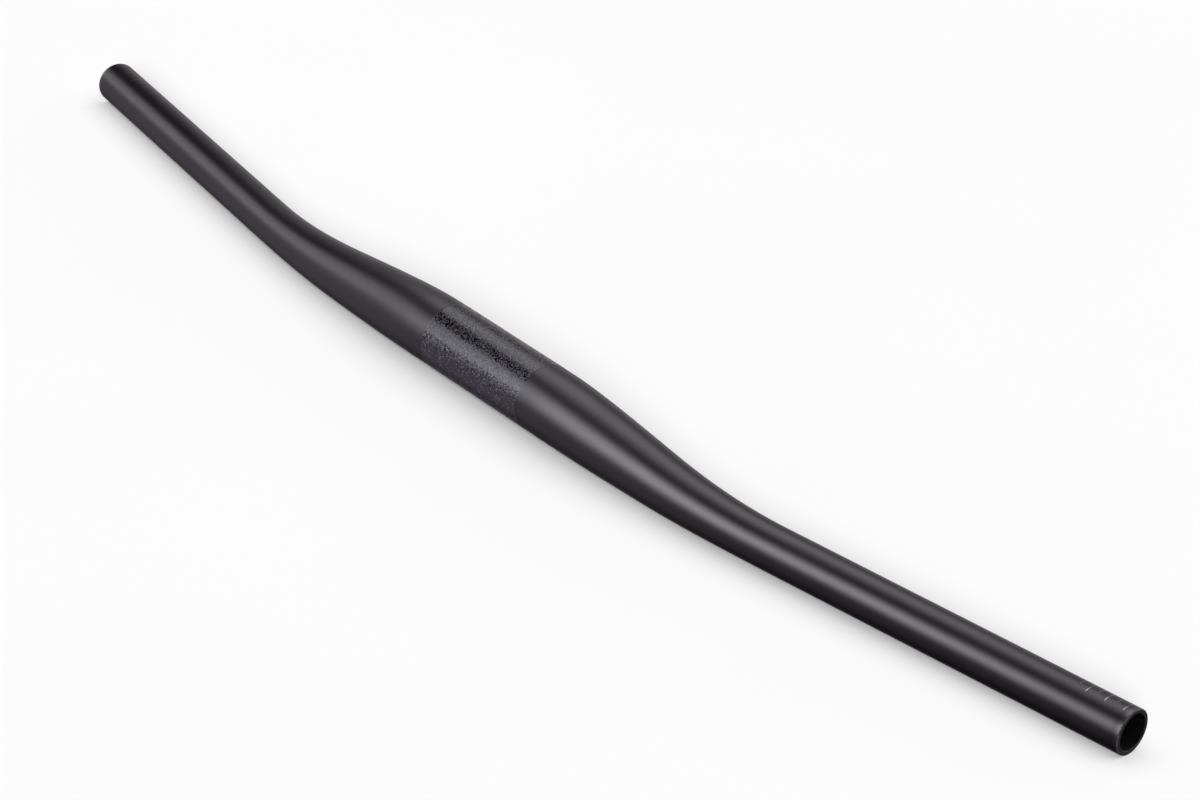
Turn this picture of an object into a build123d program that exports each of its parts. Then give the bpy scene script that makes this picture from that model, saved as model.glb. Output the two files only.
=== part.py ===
"""Riser handlebar for a bicycle: one moulded tube, thick in the middle for the
stem, tapering and sweeping to two straight grips with open ends.

Millimetres.  The origin is the centre of the stem clamp zone.  +X runs along
the clamp zone, +Y is the way the grips sweep, and +Z is up with the bar lying
on a flat surface, where its two tapers and its two ends touch down.
"""

import os
from math import radians, tan

from build123d import *

# ---- driving dimensions ----------------------------------------------------

bar_width = 800.0  # between the centres of the two end faces, along X

clamp_d = 35.0  # outside diameter at the stem
clamp_half = 39.0  # the cylinder at the stem runs this far each way
grip_d = 22.2  # outside diameter of the grips
taper_end = 200.5  # along the centre line, where the grip's diameter is reached

clamp_wall = 2.5  # wall at the stem
grip_wall = 2.2  # wall of the grips

first_bend_x = 55.0  # corner of the first, slight bend
first_bend_r = 600.0  # its centre-line radius
second_bend = (163.6, 1.80, -5.50)  # corner of the bend into the grip
second_bend_r = 508.0  # its centre-line radius
sweep_deg = 9.48  # grip against the clamp zone, seen from above as it lies
end_drop = 6.68  # end centres below the clamp axis, so that the ends touch down

end_round = 0.5  # rounding of the outer edge of each end
end_break = 0.3  # chamfer of the bore's edge

# ---- centre line of the +X half --------------------------------------------

end_x = bar_width / 2
end_y = second_bend[1] + (end_x - second_bend[0]) * tan(radians(sweep_deg))

with BuildLine() as centre_line:
    FilletPolyline(
        (0, 0, 0),
        (first_bend_x, 0, 0),
        second_bend,
        (end_x, end_y, -end_drop),
        radius=[first_bend_r, second_bend_r],
    )
path = centre_line.wires()[0]
half_length = path.length

# the five stretches in order: clamp, bend, straight, bend, grip
stretches = path.edges().sort_by(lambda e: (e @ 0.5).X)
taper_start = clamp_half
grip_start = sum(e.length for e in stretches[:4])


def station(s):
    """Plane square to the centre line, s along it from the middle."""
    at = path.position_at(s, position_mode=PositionMode.LENGTH)
    along = path.tangent_at(s, position_mode=PositionMode.LENGTH)
    return Plane(origin=at, x_dir=along.cross(Vector(0, 0, 1)), z_dir=along)


def taper(s, at_clamp, at_grip):
    """Radius at s: level at both ends of the taper, steepest half way."""
    t = min(max((s - taper_start) / (taper_end - taper_start), 0.0), 1.0)
    return at_clamp + (at_grip - at_clamp) * t * t * (3.0 - 2.0 * t)


clamp_r, grip_r = clamp_d / 2, grip_d / 2
bore_clamp_r, bore_grip_r = clamp_r - clamp_wall, grip_r - grip_wall

# sections of the tapered stretch, from the clamp zone to the straight grip
sections = 24
stations = [
    taper_start + (grip_start - taper_start) * i / sections
    for i in range(sections + 1)
]

# ---- the hollow ------------------------------------------------------------

with BuildPart() as hollow:
    with BuildSketch(station(grip_start)):
        Circle(bore_grip_r)
    extrude(amount=half_length - grip_start + 5.0)
    for s in stations:
        with BuildSketch(station(s)):
            Circle(taper(s, bore_clamp_r, bore_grip_r))
    loft()
    mirror(about=Plane.YZ)
    with BuildSketch(Plane.YZ):
        Circle(bore_clamp_r)
    extrude(amount=clamp_half, both=True)

# ---- the bar ---------------------------------------------------------------

with BuildPart() as handlebar:
    # right grip, a true cylinder out to the end face
    with BuildSketch(station(grip_start)):
        Circle(grip_r)
    extrude(amount=half_length - grip_start)
    # rounded outer edge of the end
    end_edge = handlebar.edges().filter_by(GeomType.CIRCLE).sort_by(Axis.X)[-1]
    fillet(end_edge, radius=end_round)
    # taper through both bends
    for s in stations:
        with BuildSketch(station(s)):
            Circle(taper(s, clamp_r, grip_r))
    loft()
    mirror(about=Plane.YZ)
    # stem clamp zone
    with BuildSketch(Plane.YZ):
        Circle(clamp_r)
    extrude(amount=clamp_half, both=True)
    # hollow right through, with its two mouths broken
    add(hollow.part, mode=Mode.SUBTRACT)
    mouths = (
        handlebar.edges()
        .filter_by(GeomType.CIRCLE)
        .filter_by(lambda e: abs(e.radius - bore_grip_r) < 0.01)
        .sort_by(Axis.X)
    )
    chamfer([mouths[0], mouths[-1]], length=end_break)

handlebar.part.label = "handlebar"

os.makedirs("parts", exist_ok=True)
export_step(handlebar.part, "parts/handlebar.step")

box = handlebar.part.bounding_box()
print("half length", round(half_length, 4))
print("stretches", [round(e.length, 4) for e in stretches])
print("end centre", [round(c, 5) for c in path.position_at(1)])
print("end direction", [round(c, 7) for c in path.tangent_at(1)])
print("box", [round(c, 4) for c in box.min], [round(c, 4) for c in box.max])
print("volume mm3", round(handlebar.part.volume, 1))
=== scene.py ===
"""Riser handlebar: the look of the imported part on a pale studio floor.

Lengths below are in millimetres and turn into metres when a mesh is made.  The
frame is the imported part's own: origin at the centre of the stem clamp zone, +X
along it, +Y the way the grips sweep, +Z up.
"""

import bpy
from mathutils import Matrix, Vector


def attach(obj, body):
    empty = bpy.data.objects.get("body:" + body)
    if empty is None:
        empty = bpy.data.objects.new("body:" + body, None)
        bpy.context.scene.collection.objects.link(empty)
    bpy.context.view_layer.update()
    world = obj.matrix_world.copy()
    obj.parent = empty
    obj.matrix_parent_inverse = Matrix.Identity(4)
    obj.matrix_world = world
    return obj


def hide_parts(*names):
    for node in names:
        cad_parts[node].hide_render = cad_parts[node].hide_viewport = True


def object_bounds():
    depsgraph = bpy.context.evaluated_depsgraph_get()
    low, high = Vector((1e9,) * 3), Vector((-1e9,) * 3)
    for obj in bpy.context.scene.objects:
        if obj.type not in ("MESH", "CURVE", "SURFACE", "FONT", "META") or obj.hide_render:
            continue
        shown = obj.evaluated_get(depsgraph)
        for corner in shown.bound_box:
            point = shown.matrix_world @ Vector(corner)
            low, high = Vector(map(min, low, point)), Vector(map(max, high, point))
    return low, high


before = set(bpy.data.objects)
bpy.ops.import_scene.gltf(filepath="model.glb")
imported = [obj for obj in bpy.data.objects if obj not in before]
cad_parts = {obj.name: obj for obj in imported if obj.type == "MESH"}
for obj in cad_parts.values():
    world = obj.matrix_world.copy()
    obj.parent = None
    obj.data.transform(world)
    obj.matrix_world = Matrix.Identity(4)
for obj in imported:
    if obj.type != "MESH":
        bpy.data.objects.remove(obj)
cad_box = [list(c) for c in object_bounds()]

from math import cos, pi, radians, sin, tan

import bpy
import numpy as np
from mathutils import Matrix, Quaternion, Vector

MM = 0.001
rng = np.random.default_rng(35)
scene = bpy.context.scene

# ---- the bar's own dimensions ----------------------------------------------

bar_width = 800.0
clamp_r, grip_r = 17.5, 11.1
bore_clamp_r, bore_grip_r = 15.0, 8.9
taper_start, taper_end = 39.0, 200.5
first_bend = np.array([55.0, 0.0, 0.0])
second_bend = np.array([163.6, 1.80, -5.50])
sweep = radians(9.48)
end_drop = 6.68
first_bend_r, second_bend_r = 600.0, 508.0
end_round, end_break = 0.5, 0.3

coat_half = 38.0  # rough coat on the clamp zone, each way from the middle
coat_edge = 0.35  # how far its edge slopes down
paint_r = 17.40  # the paint beside and under the coat, which makes up the rest of 35 mm


# ---- centre line -----------------------------------------------------------


def unit(v):
    return v / np.linalg.norm(v)


def stretches():
    """Straights and arcs of the +X half, each with its start, direction and length."""
    end = np.array(
        [
            bar_width / 2,
            second_bend[1] + (bar_width / 2 - second_bend[0]) * tan(sweep),
            -end_drop,
        ]
    )
    corners = [np.zeros(3), first_bend, second_bend, end]
    out, at = [], corners[0]
    for i, r in ((1, first_bend_r), (2, second_bend_r)):
        into, away = unit(corners[i] - corners[i - 1]), unit(corners[i + 1] - corners[i])
        turn = np.arccos(np.clip(into @ away, -1, 1))
        cut = r * tan(turn / 2)
        start = corners[i] - into * cut
        out.append((at, into, None, 0.0, np.linalg.norm(start - at)))
        out.append((start, into, unit(away - into * (into @ away)), r, r * turn))
        at = corners[i] + away * cut
    out.append((at, away, None, 0.0, np.linalg.norm(corners[3] - at)))
    return out


line = stretches()
half_length = sum(part[4] for part in line)


def centre(s):
    """Point and direction of the centre line at s, which is negative on the -X half."""
    left = abs(s)
    for k, (start, along, inward, r, length) in enumerate(line):
        if left <= length or k == len(line) - 1:
            break
        left -= length
    if r:
        a = left / r
        p = start + r * (sin(a) * along + (1 - cos(a)) * inward)
        t = cos(a) * along + sin(a) * inward
    else:
        p, t = start + along * left, along
    if s < 0:
        p, t = p * (-1, 1, 1), t * (1, -1, -1)
    return p, t


def taper(s, at_clamp, at_grip):
    t = min(max((abs(s) - taper_start) / (taper_end - taper_start), 0.0), 1.0)
    return at_clamp + (at_grip - at_clamp) * t * t * (3.0 - 2.0 * t)


def section(s):
    """Centre, and the two directions square to the line: level, and up."""
    p, t = centre(s)
    level = unit(np.cross((0, 0, 1), t))
    return p, level, np.cross(t, level)


def ring(s, r, angles):
    """Points round the line at s; r is one radius or one per angle."""
    p, level, up = section(s)
    r = np.broadcast_to(np.asarray(r, float), angles.shape)[:, None]
    return p + r * (np.cos(angles)[:, None] * level + np.sin(angles)[:, None] * up)


def around(count):
    return np.arange(count) * 2 * pi / count


# ---- meshes ----------------------------------------------------------------


def grid_object(name, rings, material_of=None, materials=(), sharp=None):
    """Closed surface through rings of equally many points, the last joined to the first."""
    rings = np.asarray(rings) * MM
    n, m = rings.shape[:2]
    i, j = np.meshgrid(np.arange(n), np.arange(m), indexing="ij")
    a, b = (i + 1) % n, (j + 1) % m
    quads = np.stack([i * m + j, i * m + b, a * m + b, a * m + j], -1).reshape(-1, 4)
    return mesh_object(
        name,
        rings.reshape(-1, 3),
        quads,
        None if material_of is None else np.repeat(material_of, m),
        materials,
        sharp,
    )


def mesh_object(name, points, faces, material_of=None, materials=(), sharp=None):
    mesh = bpy.data.meshes.new(name)
    mesh.from_pydata(points.tolist(), [], faces.tolist())
    for material in materials:
        mesh.materials.append(material)
    if material_of is not None:
        mesh.polygons.foreach_set("material_index", np.asarray(material_of, np.int32))
    mesh.polygons.foreach_set("use_smooth", np.ones(len(mesh.polygons), bool))
    if sharp is not None:
        mesh.set_sharp_from_angle(angle=radians(sharp))
    mesh.update()
    made = bpy.data.objects.new(name, mesh)
    scene.collection.objects.link(made)
    return made


# ---- materials -------------------------------------------------------------


def material(name):
    made = bpy.data.materials.new(name)
    made.use_nodes = True
    nodes = made.node_tree.nodes
    return made, nodes, made.node_tree.links, nodes["Principled BSDF"]


def noise(nodes, links, where, scale, detail=2.0, rough=0.5):
    made = nodes.new("ShaderNodeTexNoise")
    made.inputs["Scale"].default_value = scale
    made.inputs["Detail"].default_value = detail
    made.inputs["Roughness"].default_value = rough
    links.new(where, made.inputs["Vector"])
    return made.outputs["Fac"]


def ramp(nodes, links, fac, stops):
    made = nodes.new("ShaderNodeValToRGB")
    while len(made.color_ramp.elements) < len(stops):
        made.color_ramp.elements.new(0.5)
    for element, (at, colour) in zip(made.color_ramp.elements, stops):
        element.position = at
        element.color = (*colour, 1.0)
    links.new(fac, made.inputs["Fac"])
    return made.outputs["Color"]


def spread(nodes, links, fac, low, high, start=0.3, stop=0.7):
    made = nodes.new("ShaderNodeMapRange")
    made.inputs["From Min"].default_value = start
    made.inputs["From Max"].default_value = stop
    made.inputs["To Min"].default_value = low
    made.inputs["To Max"].default_value = high
    links.new(fac, made.inputs["Value"])
    return made.outputs["Result"]


def bump(nodes, links, height, strength, distance, normal=None):
    made = nodes.new("ShaderNodeBump")
    made.inputs["Strength"].default_value = strength
    made.inputs["Distance"].default_value = distance
    links.new(height, made.inputs["Height"])
    if normal is not None:
        links.new(normal, made.inputs["Normal"])
    return made.outputs["Normal"]


def times(nodes, links, one, two):
    made = nodes.new("ShaderNodeMath")
    made.operation = "MULTIPLY"
    links.new(one, made.inputs[0])
    links.new(two, made.inputs[1])
    return made.outputs[0]


def tilted(nodes, links, normal, lean, amount):
    """A normal that leans by a random vector with parts from 0 to 1, by so much."""
    centred = nodes.new("ShaderNodeVectorMath")
    centred.operation = "SUBTRACT"
    centred.inputs[1].default_value = (0.5, 0.5, 0.5)
    links.new(lean, centred.inputs[0])
    sized = nodes.new("ShaderNodeVectorMath")
    sized.operation = "SCALE"
    links.new(centred.outputs[0], sized.inputs[0])
    links.new(amount, sized.inputs["Scale"])
    moved = nodes.new("ShaderNodeVectorMath")
    moved.operation = "ADD"
    links.new(normal, moved.inputs[0])
    links.new(sized.outputs[0], moved.inputs[1])
    even = nodes.new("ShaderNodeVectorMath")
    even.operation = "NORMALIZE"
    links.new(moved.outputs[0], even.inputs[0])
    return even.outputs[0]


def satin_paint():
    """Satin black paint: even, with a faint grain and slight cloudiness in its sheen."""
    made, nodes, links, bsdf = material("satin_black_paint")
    where = nodes.new("ShaderNodeTexCoord").outputs["Object"]
    cloud = noise(nodes, links, where, 38.0, 3.0)
    grain = noise(nodes, links, where, 1500.0, 2.0)
    links.new(
        ramp(nodes, links, cloud, [(0.3, (0.0020, 0.0012, 0.0021)), (0.7, (0.0026, 0.0016, 0.0027))]),
        bsdf.inputs["Base Color"],
    )
    links.new(spread(nodes, links, cloud, 0.352, 0.374), bsdf.inputs["Roughness"])
    links.new(bump(nodes, links, grain, 0.10, 0.00002), bsdf.inputs["Normal"])
    # the paint is thicker and shinier over the last few millimetres of each end
    stop, along = centre(half_length)
    both = nodes.new("ShaderNodeVectorMath")
    both.operation = "ABSOLUTE"
    links.new(where, both.inputs[0])
    reach = nodes.new("ShaderNodeVectorMath")
    reach.operation = "DOT_PRODUCT"
    reach.inputs[1].default_value = (along[0], along[1], 0.0)
    links.new(both.outputs[0], reach.inputs[0])
    last = float(stop[0] * along[0] + stop[1] * along[1]) * MM
    shine = spread(nodes, links, reach.outputs["Value"], 0.5, 1.0, last - 0.0032, last - 0.0012)
    links.new(shine, bsdf.inputs["Specular IOR Level"])
    bsdf.inputs["IOR"].default_value = 1.438
    bsdf.inputs["Specular Tint"].default_value = (0.955, 0.91, 1.0, 1.0)
    return made


def rough_coat():
    """Gritty friction coat: glossy dark grains, dull paler ones, and a few specks that lean up."""
    made, nodes, links, bsdf = material("friction_coat")
    where = nodes.new("ShaderNodeTexCoord").outputs["Object"]

    def grains(scale, channel):
        cells = nodes.new("ShaderNodeTexVoronoi")
        cells.inputs["Scale"].default_value = scale
        links.new(where, cells.inputs["Vector"])
        chance = nodes.new("ShaderNodeSeparateColor")
        links.new(cells.outputs["Color"], chance.inputs[0])
        return cells, chance.outputs[channel]

    fine, dull = grains(1900.0, 0)
    other, pick = grains(2000.0, 2)
    speck = times(
        nodes,
        links,
        spread(nodes, links, pick, 0.0, 1.0, 0.91, 0.93),
        spread(nodes, links, other.outputs["Distance"], 1.0, 0.0, 0.22, 0.40),
    )
    tone = nodes.new("ShaderNodeMath")  # sum: a dull grain is a tenth, a speck the whole
    links.new(spread(nodes, links, dull, 0.0, 0.1, 0.42, 0.58), tone.inputs[0])
    links.new(speck, tone.inputs[1])
    tones = [(0.0, (0.0017, 0.0005, 0.0018)), (0.1, (0.0108, 0.0069, 0.0109)), (1.0, (0.26, 0.26, 0.27))]
    links.new(ramp(nodes, links, tone.outputs[0], tones), bsdf.inputs["Base Color"])
    links.new(spread(nodes, links, dull, 0.12, 0.44, 0.44, 0.54), bsdf.inputs["Roughness"])
    links.new(spread(nodes, links, dull, 0.50, 0.58, 0.42, 0.58), bsdf.inputs["Specular IOR Level"])
    normal = nodes.new("ShaderNodeNewGeometry").outputs["Normal"]
    little = spread(nodes, links, dull, 0.02, 0.05)
    normal = tilted(nodes, links, normal, fine.outputs["Color"], little)
    much = spread(nodes, links, speck, 0.0, 0.7, 0.0, 1.0)
    normal = tilted(nodes, links, normal, other.outputs["Color"], much)
    links.new(normal, bsdf.inputs["Normal"])
    bsdf.inputs["IOR"].default_value = 1.472
    bsdf.inputs["Specular Tint"].default_value = (0.82, 0.85, 1.0, 1.0)
    return made


def raw_composite(name, dark, pale, ior):
    """The tube's own composite where it shows: bore, cut ends and their sanded edges. The paler, warm
    colour of the sanded edges is partly a painted highlight, standing in for the light the rounded edge
    catches.
    """
    made, nodes, links, bsdf = material(name)
    where = nodes.new("ShaderNodeTexCoord").outputs["Object"]
    layers = noise(nodes, links, where, 900.0, 3.0, 0.6)
    patch = noise(nodes, links, where, 160.0, 2.0)
    links.new(
        ramp(nodes, links, layers, [(0.35, dark), (0.7, pale)]),
        bsdf.inputs["Base Color"],
    )
    links.new(spread(nodes, links, patch, 0.50, 0.66), bsdf.inputs["Roughness"])
    links.new(bump(nodes, links, layers, 0.35, 0.00008), bsdf.inputs["Normal"])
    bsdf.inputs["IOR"].default_value = ior
    return made


def printed_grey():
    """Silver-grey ink of the cut marks."""
    made, nodes, links, bsdf = material("silver_ink")
    where = nodes.new("ShaderNodeTexCoord").outputs["Object"]
    flake = noise(nodes, links, where, 2600.0, 2.0)
    links.new(
        ramp(nodes, links, flake, [(0.3, (0.17, 0.17, 0.175)), (0.7, (0.23, 0.23, 0.235))]),
        bsdf.inputs["Base Color"],
    )
    links.new(spread(nodes, links, flake, 0.27, 0.34), bsdf.inputs["Roughness"])
    bsdf.inputs["Metallic"].default_value = 1.0
    return made


def floor_paper():
    """Pale seamless paper."""
    made, nodes, links, bsdf = material("pale_paper")
    where = nodes.new("ShaderNodeTexCoord").outputs["Object"]
    tone = noise(nodes, links, where, 3.0, 2.0)
    links.new(
        ramp(nodes, links, tone, [(0.3, (0.90, 0.90, 0.90)), (0.7, (0.91, 0.91, 0.91))]),
        bsdf.inputs["Base Color"],
    )
    bsdf.inputs["Roughness"].default_value = 0.9
    bsdf.inputs["Specular IOR Level"].default_value = 0.0
    return made


paint, coat, ink, paper = satin_paint(), rough_coat(), printed_grey(), floor_paper()
core = raw_composite("raw_composite", (0.006, 0.0055, 0.0055), (0.020, 0.019, 0.017), 1.42)
# the sanded edge colour is much paler than the paint: partly bare sanded composite, partly a painted
# highlight along the rounded end edge
sanded_edge_and_highlight = raw_composite("sanded_composite_and_highlight", (0.020, 0.016, 0.013), (0.10, 0.082, 0.066), 1.6)

# ---- the bar ---------------------------------------------------------------


round_steps = 6


def outer_profile():
    """(s, r) of the right half outside, from the middle to the rounded end edge."""
    seat = paint_r - 0.12  # the paint's bed under the coat, out of sight
    stop = coat_half - 0.5
    pairs = [(s, seat) for s in np.linspace(0, stop, 6)]
    pairs += [(stop + 0.1, paint_r), (coat_half + 0.5, paint_r)]
    bends = np.concatenate(
        [np.arange(coat_half + 3, 205, 2.5), np.arange(206, half_length - 5, 6.0)]
    )
    pairs += [(s, min(taper(s, clamp_r, grip_r), paint_r)) for s in bends]
    for a in np.linspace(0, pi / 2, round_steps + 1):
        pairs.append(
            (half_length - end_round + end_round * sin(a), grip_r - end_round + end_round * cos(a))
        )
    return pairs


def inner_profile():
    """(s, r) of the right half inside, from the middle to the broken edge of the bore."""
    pairs = [(s, bore_clamp_r) for s in (0.0, 20.0)]
    pairs += [(s, taper(s, bore_clamp_r, bore_grip_r)) for s in np.arange(39, 206, 5.5)]
    pairs += [(s, bore_grip_r) for s in np.arange(212, half_length - 10, 16.0)]
    pairs += [(half_length - 3.0, bore_grip_r), (half_length - end_break, bore_grip_r)]
    pairs.append((half_length, bore_grip_r + end_break))
    return pairs


def mirrored(pairs):
    return [(-s, r) for s, r in reversed(pairs) if s > 0]


outside = outer_profile()
inside = inner_profile()
loop = mirrored(outside) + outside + list(reversed(inside)) + [(-s, r) for s, r in inside if s > 0]
turns = around(144)
count_out = 2 * len(outside) - 1
# the faces after the last outside ring are the cut end, then the bore, then the other end
which = np.zeros(len(loop), int)
which[count_out - 1 :] = 1
# the rounded end edges get the pale sanded colour, which is partly a painted highlight
which[:round_steps] = which[count_out - 1 - round_steps : count_out - 1] = 2
bar = grid_object(
    "bar", [ring(s, r, turns) for s, r in loop], which, (paint, core, sanded_edge_and_highlight), sharp=32
)

# ---- the rough coat --------------------------------------------------------


def smooth_noise(shape, cells):
    """Random heights that wrap both ways, smoothed over so many cells, of unit spread."""
    wave = np.fft.rfft2(rng.standard_normal(shape))
    fy = np.fft.fftfreq(shape[0])[:, None]
    fx = np.fft.rfftfreq(shape[1])[None, :]
    wave *= np.exp(-2 * (pi * cells) ** 2 * (fy * fy + fx * fx))
    field = np.fft.irfft2(wave, shape)
    return field / field.std()


coat_turns = around(360)
step = 2 * pi * clamp_r / 360
rows = int(round(2 * coat_half / step)) + 1
along = np.linspace(-coat_half, coat_half, rows)
heights = 0.009 * smooth_noise((rows, 360), 1.0)
coat_mean = 17.465
edge = np.clip((coat_half - np.abs(along)) / coat_edge, 0, 1)[:, None]
skin = np.minimum(coat_mean + heights, clamp_r - 0.004)
skin = (paint_r - 0.02) + (skin - (paint_r - 0.02)) * edge * edge * (3 - 2 * edge)
coat_rings = [ring(s, r, coat_turns) for s, r in zip(along, skin)]
coat_rings.append(ring(coat_half, paint_r - 0.08, coat_turns))
coat_rings.append(ring(-coat_half, paint_r - 0.08, coat_turns))
grit = grid_object("clamp_coat", coat_rings, None, (coat,))

# ---- cut marks on the grips ------------------------------------------------


def marks():
    """Short arcs of ink across the top of each grip, long and short by turns."""
    points, faces = [], []
    for side in (1, -1):
        for k in range(6):
            s = side * (half_length - 4.6 - 5.0 * k)
            top, bottom = (111.5, 52.0) if k % 2 == 0 else (97.0, 60.0)
            turn = np.radians(np.linspace(bottom, top, 25 if k % 2 == 0 else 17))
            base = len(points)
            for ds, dr in ((-0.2, -0.03), (-0.2, 0.012), (0.2, 0.012), (0.2, -0.03)):
                points.extend(ring(s + ds, grip_r + dr, turn))
            n = len(turn)
            for a in range(4):
                b = (a + 1) % 4
                for j in range(n - 1):
                    faces.append(
                        [base + a * n + j, base + a * n + j + 1, base + b * n + j + 1, base + b * n + j]
                    )
            faces.append([base + a * n for a in range(4)])
            faces.append([base + a * n + n - 1 for a in reversed(range(4))])
    return np.array(points) * MM, np.array(faces)


mark_points, mark_faces = marks()
cut_marks = mesh_object("cut_marks", mark_points, mark_faces, None, (ink,), sharp=40)

for piece in (bar, grit, cut_marks):
    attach(piece, "root")
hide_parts("handlebar")

# ---- floor -----------------------------------------------------------------

floor_z = min(cad_box[0][2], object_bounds()[0][2])  # the lowest point of the bar
span = np.linspace(-9.0, 9.0, 13)
gx, gy = np.meshgrid(span, span, indexing="ij")
flat = np.stack([gx, gy, np.full_like(gx, floor_z)], -1).reshape(-1, 3)
i, j = np.meshgrid(np.arange(12), np.arange(12), indexing="ij")
tiles = np.stack(
    [i * 13 + j, (i + 1) * 13 + j, (i + 1) * 13 + j + 1, i * 13 + j + 1], -1
).reshape(-1, 4)
floor = mesh_object("floor", flat, tiles, None, (paper,))
floor.visible_glossy = False  # the satin paint mirrors the dim studio, not the bright paper
floor.visible_shadow = False  # and takes the light of the softboxes' lower edges

# ---- light -----------------------------------------------------------------


def softbox(name, at, width, height, radiance, aim=(0.0, 0.0, 0.0), turn=0.0, beam=180.0):
    """Rectangular softbox at a point in metres, facing its aim, turned about that line.

    A beam under 180 degrees is that of a box with a grid over its face.
    """
    light = bpy.data.lights.new(name, "AREA")
    light.shape = "RECTANGLE"
    light.size, light.size_y = width, height
    light.energy = radiance * pi * width * height
    if beam < 180.0:
        half = radians(beam / 2)
        light.spread = 2 * half
        light.energy *= 1.0 - half / tan(half)  # keeps the radiance straight ahead
    made = bpy.data.objects.new(name, light)
    scene.collection.objects.link(made)
    facing = (Vector(aim) - Vector(at)).normalized()
    made.rotation_mode = "QUATERNION"
    made.rotation_quaternion = Quaternion(facing, radians(turn)) @ facing.to_track_quat("-Z", "Y")
    made.location = at
    made.visible_camera = False
    return made


def direction(azimuth, elevation, distance):
    a, e = radians(azimuth), radians(elevation)
    return (distance * cos(a) * cos(e), distance * sin(a) * cos(e), distance * sin(e))


def even_light(name, azimuth, elevation, strength, angle):
    """Far soft light, equal everywhere, from a direction and over an angle in degrees."""
    light = bpy.data.lights.new(name, "SUN")
    light.energy, light.angle = strength, radians(angle)
    made = bpy.data.objects.new(name, light)
    scene.collection.objects.link(made)
    made.rotation_mode = "QUATERNION"
    made.rotation_quaternion = Vector(direction(azimuth, elevation, 1.0)).to_track_quat("Z", "Y")
    return made


def lit_only(name, lights, pieces):
    """Lets these lights reach these pieces alone."""
    group = bpy.data.collections.new(name)
    for piece in pieces:
        group.objects.link(piece)
    for light in lights:
        light.light_linking.receiver_collection = group


# the key's edges fade in three steps, one box just behind the other
boxes = [
    softbox(f"key_{k}", direction(-106.74, 16.67, 1.3 + 0.004 * k), 0.925 + wider, 0.802 + wider, 2.79)
    for k, wider in enumerate((-0.403, 0.0, 0.403))
]
boxes.append(softbox("strip", direction(-133.37, 19.47, 1.3), 2.116, 0.639, 2.33))
boxes.append(
    softbox("top", (-0.163, 0.246, 0.847), 1.161, 1.061, 4.19, (0.368, 0.065, 0.0), -131.17, 62.3)
)
# two boxes out of the main view's highlights: for the back, and for the look along the bar
boxes.append(softbox("back", direction(68.0, 32.0, 1.6), 1.3, 0.7, 3.0))
boxes.append(softbox("side", direction(5.0, 30.0, 1.5), 0.9, 0.6, 2.0))
# the paper has its own even light, half of it from above and half from the camera's side
wash = [even_light("above", 0.0, 90.0, 1.665, 95.0), even_light("front", -42.2, 24.1, 3.60, 20.0)]
lit_only("bar_lights", boxes, (bar, grit, cut_marks))
lit_only("floor_lights", wash, (floor,))


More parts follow.
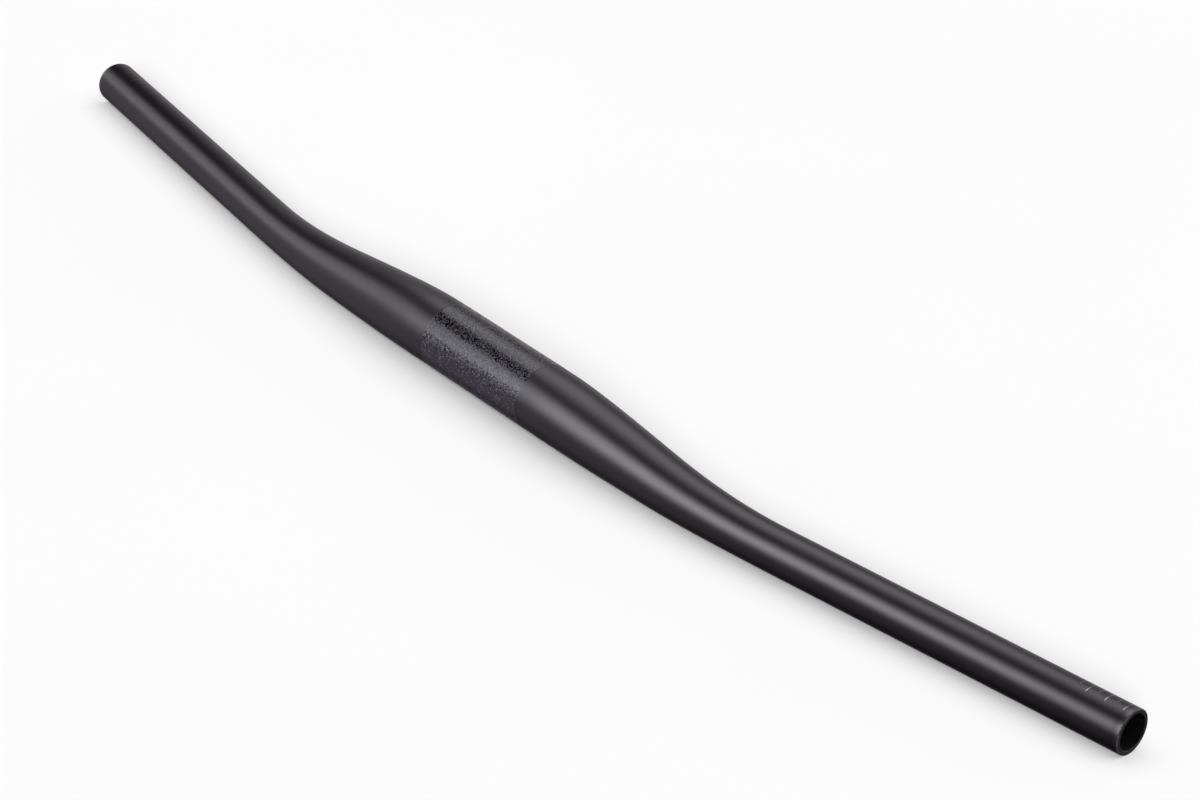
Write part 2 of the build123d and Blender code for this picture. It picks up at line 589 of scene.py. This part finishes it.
def surround():
    """Dim studio: a low glow on the -X side, and a fainter one behind the bar."""
    made = bpy.data.worlds.new("studio")
    made.use_nodes = True
    nodes, links = made.node_tree.nodes, made.node_tree.links
    axes = nodes.new("ShaderNodeSeparateXYZ")
    links.new(nodes.new("ShaderNodeTexCoord").outputs["Generated"], axes.inputs[0])

    def fade(axis, start, stop, low, high):
        made = nodes.new("ShaderNodeMapRange")
        made.interpolation_type = "SMOOTHSTEP"
        for name, value in (("From Min", start), ("From Max", stop), ("To Min", low), ("To Max", high)):
            made.inputs[name].default_value = value
        links.new(axes.outputs[axis], made.inputs["Value"])
        return made.outputs["Result"]

    side = times(nodes, links, fade("X", -0.03, -0.62, 0.0, 0.56), fade("Y", -0.38, 0.10, 1.0, 0.25))
    level = times(nodes, links, fade("Z", -0.95, -0.56, 0.0, 1.0), fade("Z", 0.22, 0.35, 1.0, 0.0))
    low = times(nodes, links, fade("Y", 0.135, 0.65, 0.0, 1.0), fade("Z", 0.03, 0.37, 1.0, 0.0))
    low = times(nodes, links, low, fade("Z", -0.62, 0.06, 0.11, 0.53))
    high = times(nodes, links, fade("Y", 0.2, 0.7, 0.0, 1.0), fade("Z", 0.03, 0.37, 0.0, 0.315))
    behind = nodes.new("ShaderNodeMath")
    links.new(low, behind.inputs[0])
    links.new(high, behind.inputs[1])
    warm = nodes.new("ShaderNodeVectorMath")
    warm.operation = "SCALE"
    warm.inputs[0].default_value = (1.05, 0.985, 1.02)
    links.new(behind.outputs[0], warm.inputs["Scale"])
    green = nodes.new("ShaderNodeMath")
    links.new(fade("X", -0.48, -0.62, 0.90, 0.865), green.inputs[0])
    links.new(fade("X", -0.70, -0.86, 0.0, 0.07), green.inputs[1])
    tint = nodes.new("ShaderNodeCombineXYZ")
    tint.inputs["X"].default_value, tint.inputs["Z"].default_value = 1.0, 1.03
    links.new(green.outputs[0], tint.inputs["Y"])
    glow = nodes.new("ShaderNodeVectorMath")
    glow.operation = "MULTIPLY_ADD"
    links.new(tint.outputs[0], glow.inputs[1])
    links.new(times(nodes, links, side, level), glow.inputs[0])
    links.new(warm.outputs[0], glow.inputs[2])
    links.new(glow.outputs[0], nodes["Background"].inputs["Color"])
    made.cycles.sampling_method = "NONE"
    return made


scene.world = surround()

# ---- camera ----------------------------------------------------------------

az, el, roll = radians(47.8099), radians(24.1054), radians(8.478)
back = Vector((sin(az) * cos(el), -cos(az) * cos(el), sin(el)))
right = (-back).cross(Vector((0, 0, 1))).normalized()
up = right.cross(-back)
across = right * cos(roll) + up * sin(roll)
upward = up * cos(roll) - right * sin(roll)
eye = across * 0.05029 + upward * -0.0159461 + back * 2.1079554

camera_data = bpy.data.cameras.new("camera")
camera_data.sensor_width = 36.0
camera_data.lens = 4347.6 / 1200 * 36.0
camera_data.clip_start, camera_data.clip_end = 0.05, 60.0
camera = bpy.data.objects.new("camera", camera_data)
camera.matrix_world = Matrix.Translation(eye) @ Matrix((across, upward, back)).transposed().to_4x4()
scene.collection.objects.link(camera)
scene.camera = camera

scene.view_settings.view_transform = "Standard"
scene.view_settings.look = "None"
